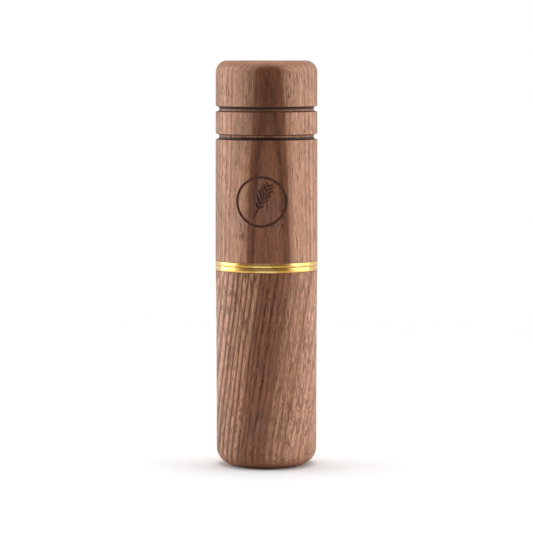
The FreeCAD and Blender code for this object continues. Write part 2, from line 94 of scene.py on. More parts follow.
def linear(code):
    """A display colour written as six hex digits, as linear red, green and blue."""
    shown = [int(code[start:start + 2], 16) / 255 for start in (0, 2, 4)]
    return tuple(v / 12.92 if v <= 0.04045 else ((v + 0.055) / 1.055) ** 2.4 for v in shown)


def tint(name, description, code):
    """A colour property, its default given as six hex digits."""
    return FloatVectorProperty(
        name=name, description=description, default=linear(code), size=3, min=0, max=1, subtype="COLOR"
    )


class TurningSettings(bpy.types.PropertyGroup):
    """Sizes that the barrel, the insert and the bands share."""

    steps: IntProperty(name="Steps", description="Faces round each turned piece", default=240, min=24)
    arc_step: degrees("Arc Step", "Turn between two points of a rounded edge", 11.0)
    seat_radius: length("Band Seat", "Radius of the wood under the bands", 14.0)
    wood_edge: length("Wood Edge", "Rounding of the wood beside the bands", 0.22)
    eased_edge: length("Eased Edge", "Rounding that sanding leaves on a crisp edge", 0.1)


class BarrelSettings(bpy.types.PropertyGroup):
    """Sizes of the turned barrel."""

    top_radius: length("Top Radius", "Barrel at the mouthpiece", 16.0)
    foot_radius: length("Foot Radius", "Barrel above its band", 16.15)
    bore_radius: length("Bore", "Bore that the O-rings seal in", 7.94)
    lead_in: length("Lead-in", "Chamfer at the foot of the bore", 0.6)
    rim_round: length("Rim Round", "Outer edge of the mouthpiece", 3.6)
    dish_radius: length("Dish Radius", "Dished mouthpiece at the rim", 10.6)
    dish_depth: length("Dish Depth", "Dished mouthpiece below the rim", 5.2)
    dish_curve: length("Dish Curve", "Section radius of the dish", 8.5)
    dish_edge: length("Dish Edge", "Inner edge of the rim", 0.9)
    mouth_radius: length("Mouth", "Mouthpiece bore", 6.35)
    chamber_drop: length("Chamber Drop", "Rim to the shoulder above the reeds", 9.5)
    groove_drop: length("Groove Drop", "Rim to the upper cord groove", 15.15)
    groove_pitch: length("Groove Pitch", "Between the two cord grooves", 8.7)
    groove_half_width: length("Groove Half Width", "Cord groove, half its width", 0.86)
    groove_floor: length("Groove Floor", "Radius of the barrel in a cord groove", 14.93)
    groove_round: length("Groove Round", "Rounding of a cord groove's floor", 0.84)


class InsertSettings(bpy.types.PropertyGroup):
    """Sizes of the turned insert."""

    radius: length("Radius", "Insert along most of its length", 15.9)
    shoulder_radius: length("Shoulder", "Insert where it swells to its band", 16.1)
    swell_length: length("Swell", "Length over which the insert swells", 19.0)
    base_round: length("Base Round", "Outer edge of the exhaust end", 5.6)
    bell_radius: length("Bell", "Exhaust bell at the exhaust face", 8.0)
    bell_length: length("Bell Length", "Length of the exhaust bell", 21.0)
    bell_curve: length("Bell Curve", "Section radius of the bell", 72.0)
    bell_edge: length("Bell Edge", "Inner edge of the exhaust end", 0.8)
    exhaust_radius: length("Exhaust", "Exhaust bore", 4.76)
    socket_radius: length("Socket", "Socket for the tone board", 6.5)
    socket_depth: length("Socket Depth", "Depth of that socket", 21.6)


class BandSettings(bpy.types.PropertyGroup):
    """Sizes of the brass bands."""

    crown: length("Crown", "How far a band's face swells between its edges", 0.09)
    edge: length("Edge", "Rounding of a band's outer edges", 0.3)


class EmblemSettings(bpy.types.PropertyGroup):
    """The feather in a ring that is burnt into the barrel."""

    height: length("Height", "Exhaust face to the emblem's centre", 84.3)
    radius: length("Radius", "Outside of the ring", 8.0)
    line: length("Line", "Width of the ring", 0.8)
    depth: length("Depth", "How deep the emblem is burnt", 0.32)
    tilt: degrees("Tilt", "Lean of the feather", 24.0)
    quill_length: length("Quill Length", "Length of the feather", 12.0)
    quill_width: length("Quill Width", "Width of the quill", 0.5)
    barb_pairs: IntProperty(name="Barb Pairs", description="Pairs of barbs on the quill", default=6, min=2)
    barb_reach: length("Barb Reach", "Length of the longest barb", 3.4)
    barb_width: length("Barb Width", "Width of a barb", 0.68)
    barb_lean: degrees("Barb Lean", "Angle of a barb from the quill", 38.0)
    barb_start: share("Barb Start", "First barb, as a share of the quill", 0.30)
    barb_span: share("Barb Span", "Share of the quill that has barbs", 0.62)
    swell_start: share("Swell Start", "Where on half a wave the first barb's length lies", 0.22)
    swell_span: share("Swell Span", "Share of half a wave that the barbs' lengths follow", 0.62)
    cutter_depth: length("Cutter Depth", "Thickness of the emblem's cutter", 12.0)


class InnerSettings(bpy.types.PropertyGroup):
    """Sizes of the pieces under the barrel."""

    ring_steps: IntProperty(name="Ring Steps", description="Faces round an O-ring", default=144, min=24)
    ring_points: IntProperty(name="Ring Points", description="Points round an O-ring's section", default=28)
    cork_edge: length("Cork Edge", "Rounding of the cork's edges", 0.35)
    cork_grain: length("Cork Grain", "Size of the faces on the cork", 0.16)
    cork_pits: length("Cork Pits", "Depth of the pits in the cork", 0.22)
    cork_crumbs: length("Cork Crumbs", "Distance between the pits in the cork", 1.1)


class WalnutSettings(bpy.types.PropertyGroup):
    """Colours of the walnut."""

    pale: tint("Pale", "Lightest wood of the barrel", "C8977A")
    straw: tint("Straw", "Common wood of the barrel", "C08D6D")
    tan: tint("Tan", "Wood between the barrel's rings", "A87A5D")
    umber: tint("Umber", "Wood beside the heart streak", "88573D")
    heart: tint("Heart", "Heart streak", "74442A")
    line: tint("Line", "Dark line that ends each year's growth", "4A2717")
    smoke: tint("Smoke", "Grey cast that drifts through the wood", "7D6A62")
    # The pore colour also serves as the painted shade in the barrel's cord grooves.
    pore_and_groove_shade: tint("Pore", "Inside of the pores", "2C1810")
    char: tint("Char", "Burnt wood in the emblem", "3A241A")


class StageSettings(bpy.types.PropertyGroup):
    """Camera, floor and lights."""

    aim_height: length("Aim Height", "Height on the axis that the camera looks at", 62.9)
    distance: length("Distance", "Camera to that point", 831.0)
    azimuth: degrees("Azimuth", "Camera round the call from the front", 6.0)
    elevation: degrees("Elevation", "Camera above the horizon", 4.6)
    lens: FloatProperty(name="Lens", description="Focal length in millimetres", default=177.1, min=1)
    floor_radius: length("Floor Radius", "Size of the pale floor", 900.0)
    light_height: length("Light Height", "Height on the axis that the softboxes face", 65.0)
    left_power: FloatProperty(name="Left Power", description="Watts of the left softbox", default=3.45)
    right_power: FloatProperty(name="Right Power", description="Watts of the right softbox", default=2.9)
    top_power: FloatProperty(name="Top Power", description="Watts of the overhead softbox", default=5.0)


class DuckCallSettings(bpy.types.PropertyGroup):
    """All the settings of the duck call."""

    turning: PointerProperty(type=TurningSettings)
    barrel: PointerProperty(type=BarrelSettings)
    insert: PointerProperty(type=InsertSettings)
    bands: PointerProperty(type=BandSettings)
    emblem: PointerProperty(type=EmblemSettings)
    inner: PointerProperty(type=InnerSettings)
    walnut: PointerProperty(type=WalnutSettings)
    stage: PointerProperty(type=StageSettings)


# ---------------------------------------------------------------- outlines


def arc_between(start, end, radius, side, steps):
    """Points inside the short arc from start to end: side is 1 to bulge right of the way there, -1 left."""
    start, end = Vector(start), Vector(end)
    chord = end - start
    across = Vector((chord.y, -chord.x)).normalized() * side
    centre = (start + end) / 2 - across * math.sqrt(radius ** 2 - chord.length ** 2 / 4)
    half = math.asin(chord.length / 2 / radius)
    points = []
    for step in range(1, steps):
        angle = half * (2 * step / steps - 1)
        points.append(centre + (across * math.cos(angle) + chord.normalized() * math.sin(angle)) * radius)
    return [tuple(point) for point in points]


def rounded(corners, arc_step):
    """Points of a closed outline whose corners are (radius, height) or (radius, height, rounding)."""
    points = []
    for index, corner in enumerate(corners):
        here = Vector(corner[:2])
        rounding = corner[2] if len(corner) > 2 else 0
        if not rounding:
            points.append(here)
            continue
        back = (Vector(corners[index - 1][:2]) - here).normalized()
        on = (Vector(corners[(index + 1) % len(corners)][:2]) - here).normalized()
        half = back.angle(on) / 2
        inward = (back + on).normalized()
        centre = here + inward * (rounding / math.sin(half))
        sweep = math.pi - 2 * half
        steps = max(2, math.ceil(sweep / arc_step))
        along = (on - back).normalized()
        for step in range(steps + 1):
            angle = sweep * (step / steps - 0.5)
            points.append(centre + (along * math.sin(angle) - inward * math.cos(angle)) * rounding)
    return points


# ---------------------------------------------------------------- modelling


def deselect_all():
    """Leaves no object selected."""
    bpy.ops.object.select_all(action="DESELECT")


def edit_all():
    """Enters edit mode with everything selected."""
    bpy.ops.object.mode_set(mode="EDIT")
    bpy.ops.mesh.select_all(action="SELECT")


def begin_piece(name):
    """A new mesh object, in edit mode, with one vertex at the origin."""
    deselect_all()
    bpy.ops.mesh.primitive_plane_add(size=MM)
    piece = bpy.context.object
    piece.name = name
    piece.data.name = name
    edit_all()
    bpy.ops.mesh.merge(type="CENTER")
    return piece


def draw_closed(piece, points):
    """Draws a closed outline from the piece's one vertex, by extruding it from point to point."""
    bpy.ops.transform.translate(value=points[0])
    for start, end in zip(points, points[1:]):
        bpy.ops.mesh.extrude_region_move(TRANSFORM_OT_translate={"value": end - start})
    bpy.ops.mesh.select_all(action="DESELECT")
    mesh = bmesh.from_edit_mesh(piece.data)
    for vertex in mesh.verts:
        vertex.select_set(len(vertex.link_edges) == 1)
    bmesh.update_edit_mesh(piece.data)
    bpy.ops.mesh.edge_face_add()
    bpy.ops.mesh.select_all(action="SELECT")


def close_up(smooth_angle=30):
    """Merges doubles, turns the faces outwards, leaves edit mode and shades the piece."""
    bpy.ops.mesh.select_all(action="SELECT")
    bpy.ops.mesh.remove_doubles(threshold=SAME_PLACE)
    bpy.ops.mesh.normals_make_consistent(inside=False)
    bpy.ops.object.mode_set(mode="OBJECT")
    bpy.ops.object.shade_smooth_by_angle(angle=math.radians(smooth_angle))


def turned(name, corners, turning, steps=None):
    """A piece spun round the Z axis from an outline of radius and height."""
    piece = begin_piece(name)
    points = [Vector((radius, 0, height)) for radius, height in rounded(corners, turning.arc_step)]
    draw_closed(piece, points)
    bpy.ops.mesh.spin(
        steps=steps or turning.steps, angle=FULL_TURN, center=(0, 0, 0), axis=(0, 0, 1), use_auto_merge=True
    )
    close_up()
    return piece


def apply_modifier(piece, kind, name, **settings):
    """Adds a modifier to the piece and applies it."""
    deselect_all()
    piece.select_set(True)
    bpy.context.view_layer.objects.active = piece
    modifier = piece.modifiers.new(name, kind)
    for setting, value in settings.items():
        setattr(modifier, setting, value)
    bpy.ops.object.modifier_apply(modifier=modifier.name)


def cut(piece, tool, crossing=False):
    """Cuts the tool from the piece and removes the tool; crossing says that the piece crosses itself."""
    apply_modifier(
        piece, "BOOLEAN", "Cut", operation="DIFFERENCE", solver="EXACT", object=tool,
        use_self=crossing, material_mode="TRANSFER",
    )
    bpy.data.objects.remove(tool)


def mount_piece(piece, material, body, node):
    """Gives a finished piece its material and body, and hides the CAD node it stands for."""
    mesh = bmesh.new()
    mesh.from_mesh(piece.data)
    open_edges = sum(not edge.is_manifold for edge in mesh.edges)
    volume = mesh.calc_volume(signed=True)
    mesh.free()
    if open_edges or volume <= 0:
        raise RuntimeError(f"{piece.name} isn't closed and turned outwards: {open_edges} open edges")
    if not piece.data.materials:
        piece.data.materials.append(material)
    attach(piece, body)
    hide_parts(node)


# ---------------------------------------------------------------- shader nodes


def feed(tree, node, inputs):
    """Gives a node's inputs their values, or the sockets that feed them."""
    for socket, value in inputs.items():
        if isinstance(value, bpy.types.NodeSocket):
            tree.links.new(value, node.inputs[socket])
        else:
            node.inputs[socket].default_value = value


def add_node(tree, kind, inputs=None, **settings):
    """A node with its settings and inputs."""
    made = tree.nodes.new(kind)
    made.location = (len(tree.nodes) * 190, 0)
    for name, value in settings.items():
        setattr(made, name, value)
    feed(tree, made, inputs or {})
    return made


def sum_up(tree, operation, *values):
    """The result of a Math node."""
    return add_node(tree, "ShaderNodeMath", dict(enumerate(values)), operation=operation).outputs[0]


def stretch(tree, vector, factors):
    """A vector multiplied axis by axis."""
    made = add_node(tree, "ShaderNodeVectorMath", {0: vector, 1: factors}, operation="MULTIPLY")
    return made.outputs[0]


def noise(tree, vector, scale, detail=2.0, roughness=0.5):
    """The value of a noise, about 0.5 in the middle."""
    inputs = {"Vector": vector, "Scale": scale, "Detail": detail, "Roughness": roughness}
    return add_node(tree, "ShaderNodeTexNoise", inputs).outputs[0]


def fade(tree, value, low, high, to_low=0.0, to_high=1.0):
    """A smooth step as value goes from low to high."""
    inputs = {"Value": value, "From Min": low, "From Max": high, "To Min": to_low, "To Max": to_high}
    return add_node(tree, "ShaderNodeMapRange", inputs, interpolation_type="SMOOTHSTEP").outputs[0]


def blend_colours(tree, factor, first, second, blend_type="MIX"):
    """Two colours mixed."""
    made = add_node(tree, "ShaderNodeMix", {0: factor, 6: first, 7: second}, data_type="RGBA")
    made.blend_type = blend_type
    return made.outputs[2]


def opaque(colour):
    """A colour with its alpha, from three numbers or six hex digits."""
    return (*(linear(colour) if isinstance(colour, str) else colour[:3]), 1.0)


def colour_scale(tree, value, stops):
    """A colour read from stops of (value, colour), in rising order."""
    low, high = stops[0][0], stops[-1][0]
    reach = {"Value": value, "From Min": low, "From Max": high}
    position = add_node(tree, "ShaderNodeMapRange", reach).outputs[0]
    ramp = add_node(tree, "ShaderNodeValToRGB", {"Fac": position})
    elements = ramp.color_ramp.elements
    while len(elements) < len(stops):
        elements.new(0.5)
    for element, (place, colour) in zip(elements, stops):
        element.position = (place - low) / (high - low)
        element.color = opaque(colour)
    return ramp.outputs["Color"]


def new_group(name, inputs, outputs):
    """An empty shader group: inputs are (name, type, default) and outputs are (name, type)."""
    tree = bpy.data.node_groups.new(name, "ShaderNodeTree")
    for label, kind, default in inputs:
        socket = tree.interface.new_socket(label, in_out="INPUT", socket_type=f"NodeSocket{kind}")
        if default is not None:
            socket.default_value = default
    for label, kind in outputs:
        tree.interface.new_socket(label, in_out="OUTPUT", socket_type=f"NodeSocket{kind}")
    return tree, tree.nodes.new("NodeGroupInput").outputs, tree.nodes.new("NodeGroupOutput")


def place_group(tree, name, inputs):
    """The outputs of a group placed in a tree, with its own inputs."""
    return add_node(tree, "ShaderNodeGroup", inputs, node_tree=bpy.data.node_groups[name]).outputs


def swayed(tree, vector):
    """Grain coordinates that drift from side to side, slowly along the grain."""
    drift = sum_up(tree, "SUBTRACT", noise(tree, stretch(tree, vector, (1, 1, 0.45)), 0.06, 2.0), 0.5)
    aside = add_node(tree, "ShaderNodeCombineXYZ", {"X": sum_up(tree, "MULTIPLY", drift, 6.0)}).outputs[0]
    return add_node(tree, "ShaderNodeVectorMath", {0: vector, 1: aside}, operation="ADD").outputs[0]


def growth_rings_group():
    """Growth rings round a pith: how deep a point lies in them, and how late in its ring's year."""
    inputs = [
        ("Vector", "Vector", None),
        ("Pith Distance", "Float", 60.0),
        ("Ring Spacing", "Float", 1.5),
        ("Waviness", "Float", 0.5),
    ]
    outputs = [("Depth", "Float"), ("Latewood", "Float")]
    tree, given, out = new_group("Growth Rings", inputs, outputs)
    vector = swayed(tree, given["Vector"])
    apart = add_node(tree, "ShaderNodeSeparateXYZ", {0: vector}).outputs
    from_pith = sum_up(tree, "ADD", apart["Y"], given["Pith Distance"])
    flat = add_node(tree, "ShaderNodeCombineXYZ", {"X": apart["X"], "Y": from_pith}).outputs[0]
    radius = add_node(tree, "ShaderNodeVectorMath", {0: flat}, operation="LENGTH").outputs["Value"]
    broad = noise(tree, stretch(tree, vector, (1, 1, 0.3)), 0.055, 1.5)
    narrow = noise(tree, stretch(tree, vector, (1, 1, 0.09)), 0.55, 2.0)
    warp = sum_up(tree, "MULTIPLY_ADD", broad, 1.5, sum_up(tree, "MULTIPLY", narrow, 0.5))
    shift = sum_up(tree, "MULTIPLY", sum_up(tree, "SUBTRACT", warp, 1.0), given["Waviness"])
    depth = sum_up(tree, "ADD", sum_up(tree, "SUBTRACT", radius, given["Pith Distance"]), shift)
    years = sum_up(tree, "DIVIDE", depth, given["Ring Spacing"])
    seasons = {"W": years, "Scale": 0.45}
    uneven = add_node(tree, "ShaderNodeTexNoise", seasons, noise_dimensions="1D").outputs[0]
    years = sum_up(tree, "MULTIPLY_ADD", uneven, 1.6, years)
    year = sum_up(tree, "FRACT", years)
    late = sum_up(tree, "MULTIPLY", fade(tree, year, 0.35, 0.78), fade(tree, year, 1.0, 0.82))
    feed(tree, out, {"Depth": depth, "Latewood": late})


def wood_fibre_group():
    """What runs along the grain: fine streaks, long and short open pores, flecks and slow clouds."""
    inputs = [("Vector", "Vector", None), ("Pore Size", "Float", 0.3)]
    outputs = [("Streaks", "Float"), ("Pores", "Float"), ("Flecks", "Float"), ("Clouds", "Float")]
    tree, given, out = new_group("Wood Fibre", inputs, outputs)
    vector = swayed(tree, given["Vector"])
    streaks = noise(tree, stretch(tree, vector, (1, 1, 0.035)), 3.2, 3.0, 0.66)
    layers = []
    for squash, scale, size in ((0.05, 1.5, 0.75), (0.09, 2.0, 0.9), (0.14, 2.7, 1.0)):
        cells = {"Vector": stretch(tree, vector, (1, 1, squash)), "Scale": scale}
        distance = add_node(tree, "ShaderNodeTexVoronoi", cells).outputs["Distance"]
        width = sum_up(tree, "MULTIPLY", given["Pore Size"], size)
        layers.append(fade(tree, distance, width, sum_up(tree, "MULTIPLY", width, 0.65)))
    pores = sum_up(tree, "MAXIMUM", sum_up(tree, "MAXIMUM", layers[0], layers[1]), layers[2])
    patches = fade(tree, noise(tree, stretch(tree, vector, (1, 1, 0.2)), 0.35), 0.4, 0.6)
    pores = sum_up(tree, "MULTIPLY", pores, sum_up(tree, "MULTIPLY_ADD", patches, 0.6, 0.4))
    flecks = fade(tree, noise(tree, stretch(tree, vector, (1, 1, 0.2)), 1.25, 4.0, 0.68), 0.46, 0.62)
    clouds = noise(tree, stretch(tree, vector, (1, 1, 0.35)), 0.12, 2.0)
    feed(tree, out, {"Streaks": streaks, "Pores": pores, "Flecks": flecks, "Clouds": clouds})


def groove_shade_group():
    """Painted shade along one wall of a turned groove: a dark band where that wall's shadow falls."""
    inputs = [
        ("Vector", "Vector", None),
        ("Height", "Float", 0.0),
        ("Width", "Float", 0.5),
        ("Wall", "Float", 16.0),
    ]
    tree, given, out = new_group("Groove Shade", inputs, [("Shade", "Float")])
    apart = add_node(tree, "ShaderNodeSeparateXYZ", {0: given["Vector"]}).outputs
    flat = add_node(tree, "ShaderNodeCombineXYZ", {"X": apart["X"], "Y": apart["Y"]}).outputs[0]
    radius = add_node(tree, "ShaderNodeVectorMath", {0: flat}, operation="LENGTH").outputs["Value"]
    away = sum_up(tree, "ABSOLUTE", sum_up(tree, "SUBTRACT", apart["Z"], given["Height"]))
    near = fade(tree, away, given["Width"], sum_up(tree, "MULTIPLY", given["Width"], 0.4))
    sunk = fade(tree, sum_up(tree, "SUBTRACT", given["Wall"], radius), 0.0, 0.15)
    feed(tree, out, {"Shade": sum_up(tree, "MULTIPLY", near, sunk)})


def handling_group():
    """Faint unevenness that touch leaves: smears, and fine scratches that run any way."""
    inputs = [("Vector", "Vector", None), ("Scratch Scale", "Float", 3.0)]
    tree, given, out = new_group("Handling", inputs, [("Smears", "Float"), ("Scratches", "Float")])
    smears = noise(tree, given["Vector"], 0.18, 3.0, 0.55)
    twisted = add_node(tree, "ShaderNodeTexNoise", {
        "Vector": given["Vector"], "Scale": given["Scratch Scale"], "Detail": 1.0, "Distortion": 2.5,
    }).outputs[0]
    near_middle = sum_up(tree, "ABSOLUTE", sum_up(tree, "SUBTRACT", twisted, 0.5))
    scratches = fade(tree, near_middle, 0.012, 0.0)
    feed(tree, out, {"Smears": smears, "Scratches": scratches})


def oiled_walnut_group(w):
    """Walnut over its blank's base colour: grey drift, ring lines, flecks, streaks, pores, and faces
    pointing up or down darkened, partly real end grain and partly painted shade on the top rim and the
    rounded foot.
    """
    inputs = [
        ("Vector", "Vector", None),
        ("Base", "Color", None),
        ("Latewood", "Float", 0.0),
        ("Smoke", "Float", 0.3),
        ("Flecks", "Float", 0.5),
        ("Streaks", "Float", 0.3),
    ]
    outputs = [("Colour", "Color"), ("Pores", "Float"), ("Relief", "Float")]
    tree, given, out = new_group("Oiled Walnut", inputs, outputs)
    fibre = place_group(tree, "Wood Fibre", {"Vector": given["Vector"]})
    across = add_node(tree, "ShaderNodeSeparateXYZ", {0: given["Vector"]}).outputs["X"]
    drift = sum_up(tree, "MULTIPLY_ADD", across, -0.006, fibre["Clouds"])
    smoke = sum_up(tree, "MULTIPLY", fade(tree, drift, 0.48, 0.66), given["Smoke"])
    colour = blend_colours(tree, smoke, given["Base"], opaque(w.smoke))
    broken = fade(tree, fibre["Streaks"], 0.34, 0.58, 0.4, 1.0)
    late = sum_up(tree, "MULTIPLY", given["Latewood"], broken)
    colour = blend_colours(tree, late, colour, opaque(w.line))
    flecks = sum_up(tree, "MULTIPLY", fibre["Flecks"], given["Flecks"])
    colour = blend_colours(tree, flecks, colour, opaque(w.umber))
    swing = sum_up(tree, "MULTIPLY", fade(tree, fibre["Streaks"], 0.28, 0.72, -1.0, 1.0), given["Streaks"])
    swing = sum_up(tree, "ADD", swing, 1.0)
    bright = add_node(tree, "ShaderNodeCombineXYZ", {"X": swing, "Y": swing, "Z": swing}).outputs[0]
    colour = blend_colours(tree, 1.0, colour, bright, "MULTIPLY")
    pores = sum_up(tree, "MULTIPLY", fibre["Pores"], sum_up(tree, "MULTIPLY_ADD", late, 0.35, 0.65))
    colour = blend_colours(tree, pores, colour, opaque(w.pore_and_groove_shade))
    # End grain and painted shade: faces that point up or down are darkened towards umber, partly as real end
    # grain and partly as painted shade on the top rim and the rounded foot.
    normal = add_node(tree, "ShaderNodeTexCoord").outputs["Normal"]
    upward = add_node(tree, "ShaderNodeSeparateXYZ", {0: normal}).outputs["Z"]
    end_grain_and_painted_shade = fade(tree, sum_up(tree, "ABSOLUTE", upward), 0.15, 0.95, 0.0, 0.75)
    colour = blend_colours(tree, end_grain_and_painted_shade, colour, opaque(w.umber))
    open_pores = sum_up(tree, "MULTIPLY", fibre["Pores"], -1.0)
    relief = sum_up(tree, "MULTIPLY_ADD", fibre["Streaks"], 0.35, open_pores)
    feed(tree, out, {"Colour": colour, "Pores": pores, "Relief": relief})


def new_material(name):
    """A material with its tree, its Principled shader, and Object coordinates in millimetres."""
    material = bpy.data.materials.new(name)
    material.use_nodes = True
    tree = material.node_tree
    shader = tree.nodes["Principled BSDF"]
    coordinates = add_node(tree, "ShaderNodeTexCoord").outputs["Object"]
    scaled = add_node(tree, "ShaderNodeMapping", {"Vector": coordinates, "Scale": (1 / MM,) * 3}).outputs[0]
    return material, tree, shader, scaled


def surface(tree, shader, colour, rough, relief, strength, depth):
    """Feeds the shader its colour, its roughness and a relief of so many millimetres."""
    bump = add_node(tree, "ShaderNodeBump", {
        "Strength": strength, "Distance": depth * MM, "Height": relief,
    })
    feed(tree, shader, {"Base Color": colour, "Roughness": rough, "Normal": bump.outputs[0]})


def grain_vector(tree, vector, turn, lean, start):
    """Millimetre coordinates turned to a blank's own grain, with start where its rings begin."""
    inputs = {"Vector": vector, "Rotation": (0, lean[0], turn)}
    turned_vector = add_node(tree, "ShaderNodeMapping", inputs).outputs[0]
    inputs = {"Vector": turned_vector, "Rotation": (lean[1], 0, 0), "Location": start}
    return add_node(tree, "ShaderNodeMapping", inputs).outputs[0]


def level_scale(tree, value, stops):
    """A level from 0 to 1 read from stops of (value, level), in rising order."""
    return colour_scale(tree, value, [(place, (level,) * 3) for place, level in stops])


def walnut(name, settings, colours, lines, rings, grain, strengths, grooves=()):
    """Oiled walnut from one blank.

    colours and lines are stops by depth in mm: of colour, and of how strongly ring lines show.  rings are
    the Growth Rings values and grain the turn, lean and start of the blank.  strengths are the Oiled
    Walnut values, and grooves are (height, width) in mm of painted shade lines along the groove walls.
    """
    material, tree, shader, scaled = new_material(name)
    vector = grain_vector(tree, scaled, **grain)
    ring = place_group(tree, "Growth Rings", {"Vector": vector, **rings})
    wood = place_group(tree, "Oiled Walnut", {
        "Vector": vector,
        "Base": colour_scale(tree, ring["Depth"], colours),
        "Latewood": sum_up(tree, "MULTIPLY", ring["Latewood"], level_scale(tree, ring["Depth"], lines)),
        **strengths,
    })
    colour = wood["Colour"]
    # Painted shade: each groove wall is darkened towards the pore colour where its shadow falls.
    for height, width in grooves:
        shade = place_group(tree, "Groove Shade", {
            "Vector": scaled, "Height": height, "Width": width, "Wall": settings.barrel.top_radius / MM,
        })["Shade"]
        # burnt holds painted shade, not a burn: how far the groove wall is darkened.
        burnt = sum_up(tree, "MULTIPLY", shade, 0.9)
        colour = blend_colours(tree, burnt, colour, opaque(settings.walnut.pore_and_groove_shade))
    touch = place_group(tree, "Handling", {"Vector": scaled})
    gloss = fade(tree, touch["Smears"], 0.3, 0.7, 0.44, 0.56)
    rough = sum_up(tree, "MULTIPLY_ADD", wood["Pores"], 0.25, gloss)
    shader.inputs["Specular IOR Level"].default_value = 0.3
    surface(tree, shader, colour, rough, wood["Relief"], 0.6, 0.05)
    return material


def barrel_walnut(settings):
    """The barrel's blank: rings lie flat to the front, so its heart streak runs down the middle."""
    w = settings.walnut
    colours = [
        (-2.2, w.tan), (-1.1, w.umber), (-0.3, w.umber), (0.0, w.heart), (0.58, w.heart),
        (0.75, w.umber), (0.9, w.tan), (1.5, w.straw), (3.2, w.pale), (5.2, w.straw), (8.0, w.pale),
        (11.0, w.straw), (15.0, w.tan), (19.0, w.pale), (24.0, w.straw), (28.0, w.umber),
        (32.0, w.heart), (34.0, w.tan),
    ]
    lines = [
        (-2.2, 1.0), (-0.1, 0.8), (0.3, 0.25), (1.2, 0.2), (4.5, 0.2), (5.5, 0.5), (9.0, 0.45), (34.0, 0.7),
    ]
    rings = {"Pith Distance": 70.0, "Ring Spacing": 1.9, "Waviness": 0.22}
    grain = {
        "turn": math.radians(-8.5), "lean": (0.0, math.radians(-1.02)), "start": (0.0, 13.88, 0.0),
    }
    strengths = {"Streaks": 0.3, "Flecks": 0.36, "Smoke": 0.24}
    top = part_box("barrel")[1].z
    upper = (top - settings.barrel.groove_drop) / MM
    lower = upper - settings.barrel.groove_pitch / MM
    # Painted shade in the two cord grooves: a wide dark band on one wall of each and a narrow one on the
    # other.
    grooves = [(upper + 0.5, 0.85), (upper - 0.85, 0.35), (lower + 0.85, 0.35), (lower - 0.5, 0.85)]
    return walnut("oiled_walnut_barrel", settings, colours, lines, rings, grain, strengths, grooves)


def insert_walnut(settings):
    """The insert's blank: rings stand on edge at the front and lean to the right."""
    w = settings.walnut
    colours = [
        (-20.0, w.pale), (-12.0, w.pale), (-10.0, w.straw), (-8.5, w.tan), (-7.0, w.straw),
        (-2.5, w.straw), (-0.5, w.umber), (5.5, w.umber), (8.0, w.tan), (10.5, w.straw),
        (12.5, w.tan), (14.0, w.pale), (22.0, w.straw),
    ]
    lines = [(-20.0, 0.7), (-12.0, 1.0), (3.0, 1.0), (7.0, 0.5), (22.0, 0.35)]
    rings = {"Pith Distance": 48.0, "Ring Spacing": 1.75, "Waviness": 0.7}
    grain = {
        "turn": math.radians(82.0), "lean": (0.0, math.radians(8.0)), "start": (0.0, 6.65, 0.0),
    }
    strengths = {"Streaks": 0.42, "Flecks": 0.85, "Smoke": 0.2}
    return walnut("oiled_walnut_insert", settings, colours, lines, rings, grain, strengths)


def burnt_walnut(settings):
    """Scorched wood in the emblem: nearly black, with paler fibres showing through."""
    material, tree, shader, scaled = new_material("burnt_walnut")
    fibre = place_group(tree, "Wood Fibre", {"Vector": scaled})
    shows = fade(tree, fibre["Streaks"], 0.35, 0.65, 0.0, 0.8)
    colour = blend_colours(tree, shows, opaque(settings.walnut.char), opaque(settings.walnut.heart))
    rough = fade(tree, fibre["Streaks"], 0.3, 0.7, 0.85, 0.6)
    surface(tree, shader, colour, rough, fibre["Streaks"], 0.8, 0.06)
    return material


def brass():
    """Turned brass: fine rings from the lathe tool, slow tarnish and a few scratches."""
    material, tree, shader, scaled = new_material("turned_brass")
    touch = place_group(tree, "Handling", {"Vector": scaled, "Scratch Scale": 1.3})
    lathe_marks = noise(tree, stretch(tree, scaled, (0.04, 0.04, 1)), 16.0, 3.0, 0.7)
    tarnish = fade(tree, touch["Smears"], 0.4, 0.72)
    colour = blend_colours(tree, tarnish, opaque("F3CC80"), opaque("CC9B4C"))
    shader.inputs["Metallic"].default_value = 1.0
    smears = fade(tree, touch["Smears"], 0.3, 0.7, 0.12, 0.22)
    rough = sum_up(tree, "MULTIPLY_ADD", lathe_marks, 0.12, smears)
    rough = sum_up(tree, "MULTIPLY_ADD", touch["Scratches"], 0.12, rough)
    relief = sum_up(tree, "MULTIPLY_ADD", touch["Scratches"], -0.5, lathe_marks)
    surface(tree, shader, colour, rough, relief, 0.35, 0.012)
    return material


def moulded_plastic():
    """Black moulded plastic: faint flow marks and fine scratches over a satin gloss."""
    material, tree, shader, scaled = new_material("moulded_black_plastic")
    touch = place_group(tree, "Handling", {"Vector": scaled, "Scratch Scale": 0.8})
    flow = fade(tree, noise(tree, stretch(tree, scaled, (1, 1, 0.25)), 0.5, 3.0), 0.3, 0.7)
    colour = blend_colours(tree, flow, opaque("17171A"), opaque("26262B"))
    scratched = sum_up(tree, "MULTIPLY", touch["Scratches"], 0.3)
    colour = blend_colours(tree, scratched, colour, opaque("5A5A60"))
    smears = fade(tree, touch["Smears"], 0.3, 0.7, 0.2, 0.34)
    rough = sum_up(tree, "MULTIPLY_ADD", touch["Scratches"], 0.2, smears)
    surface(tree, shader, colour, rough, noise(tree, scaled, 6.0, 2.0), 0.25, 0.01)
    return material


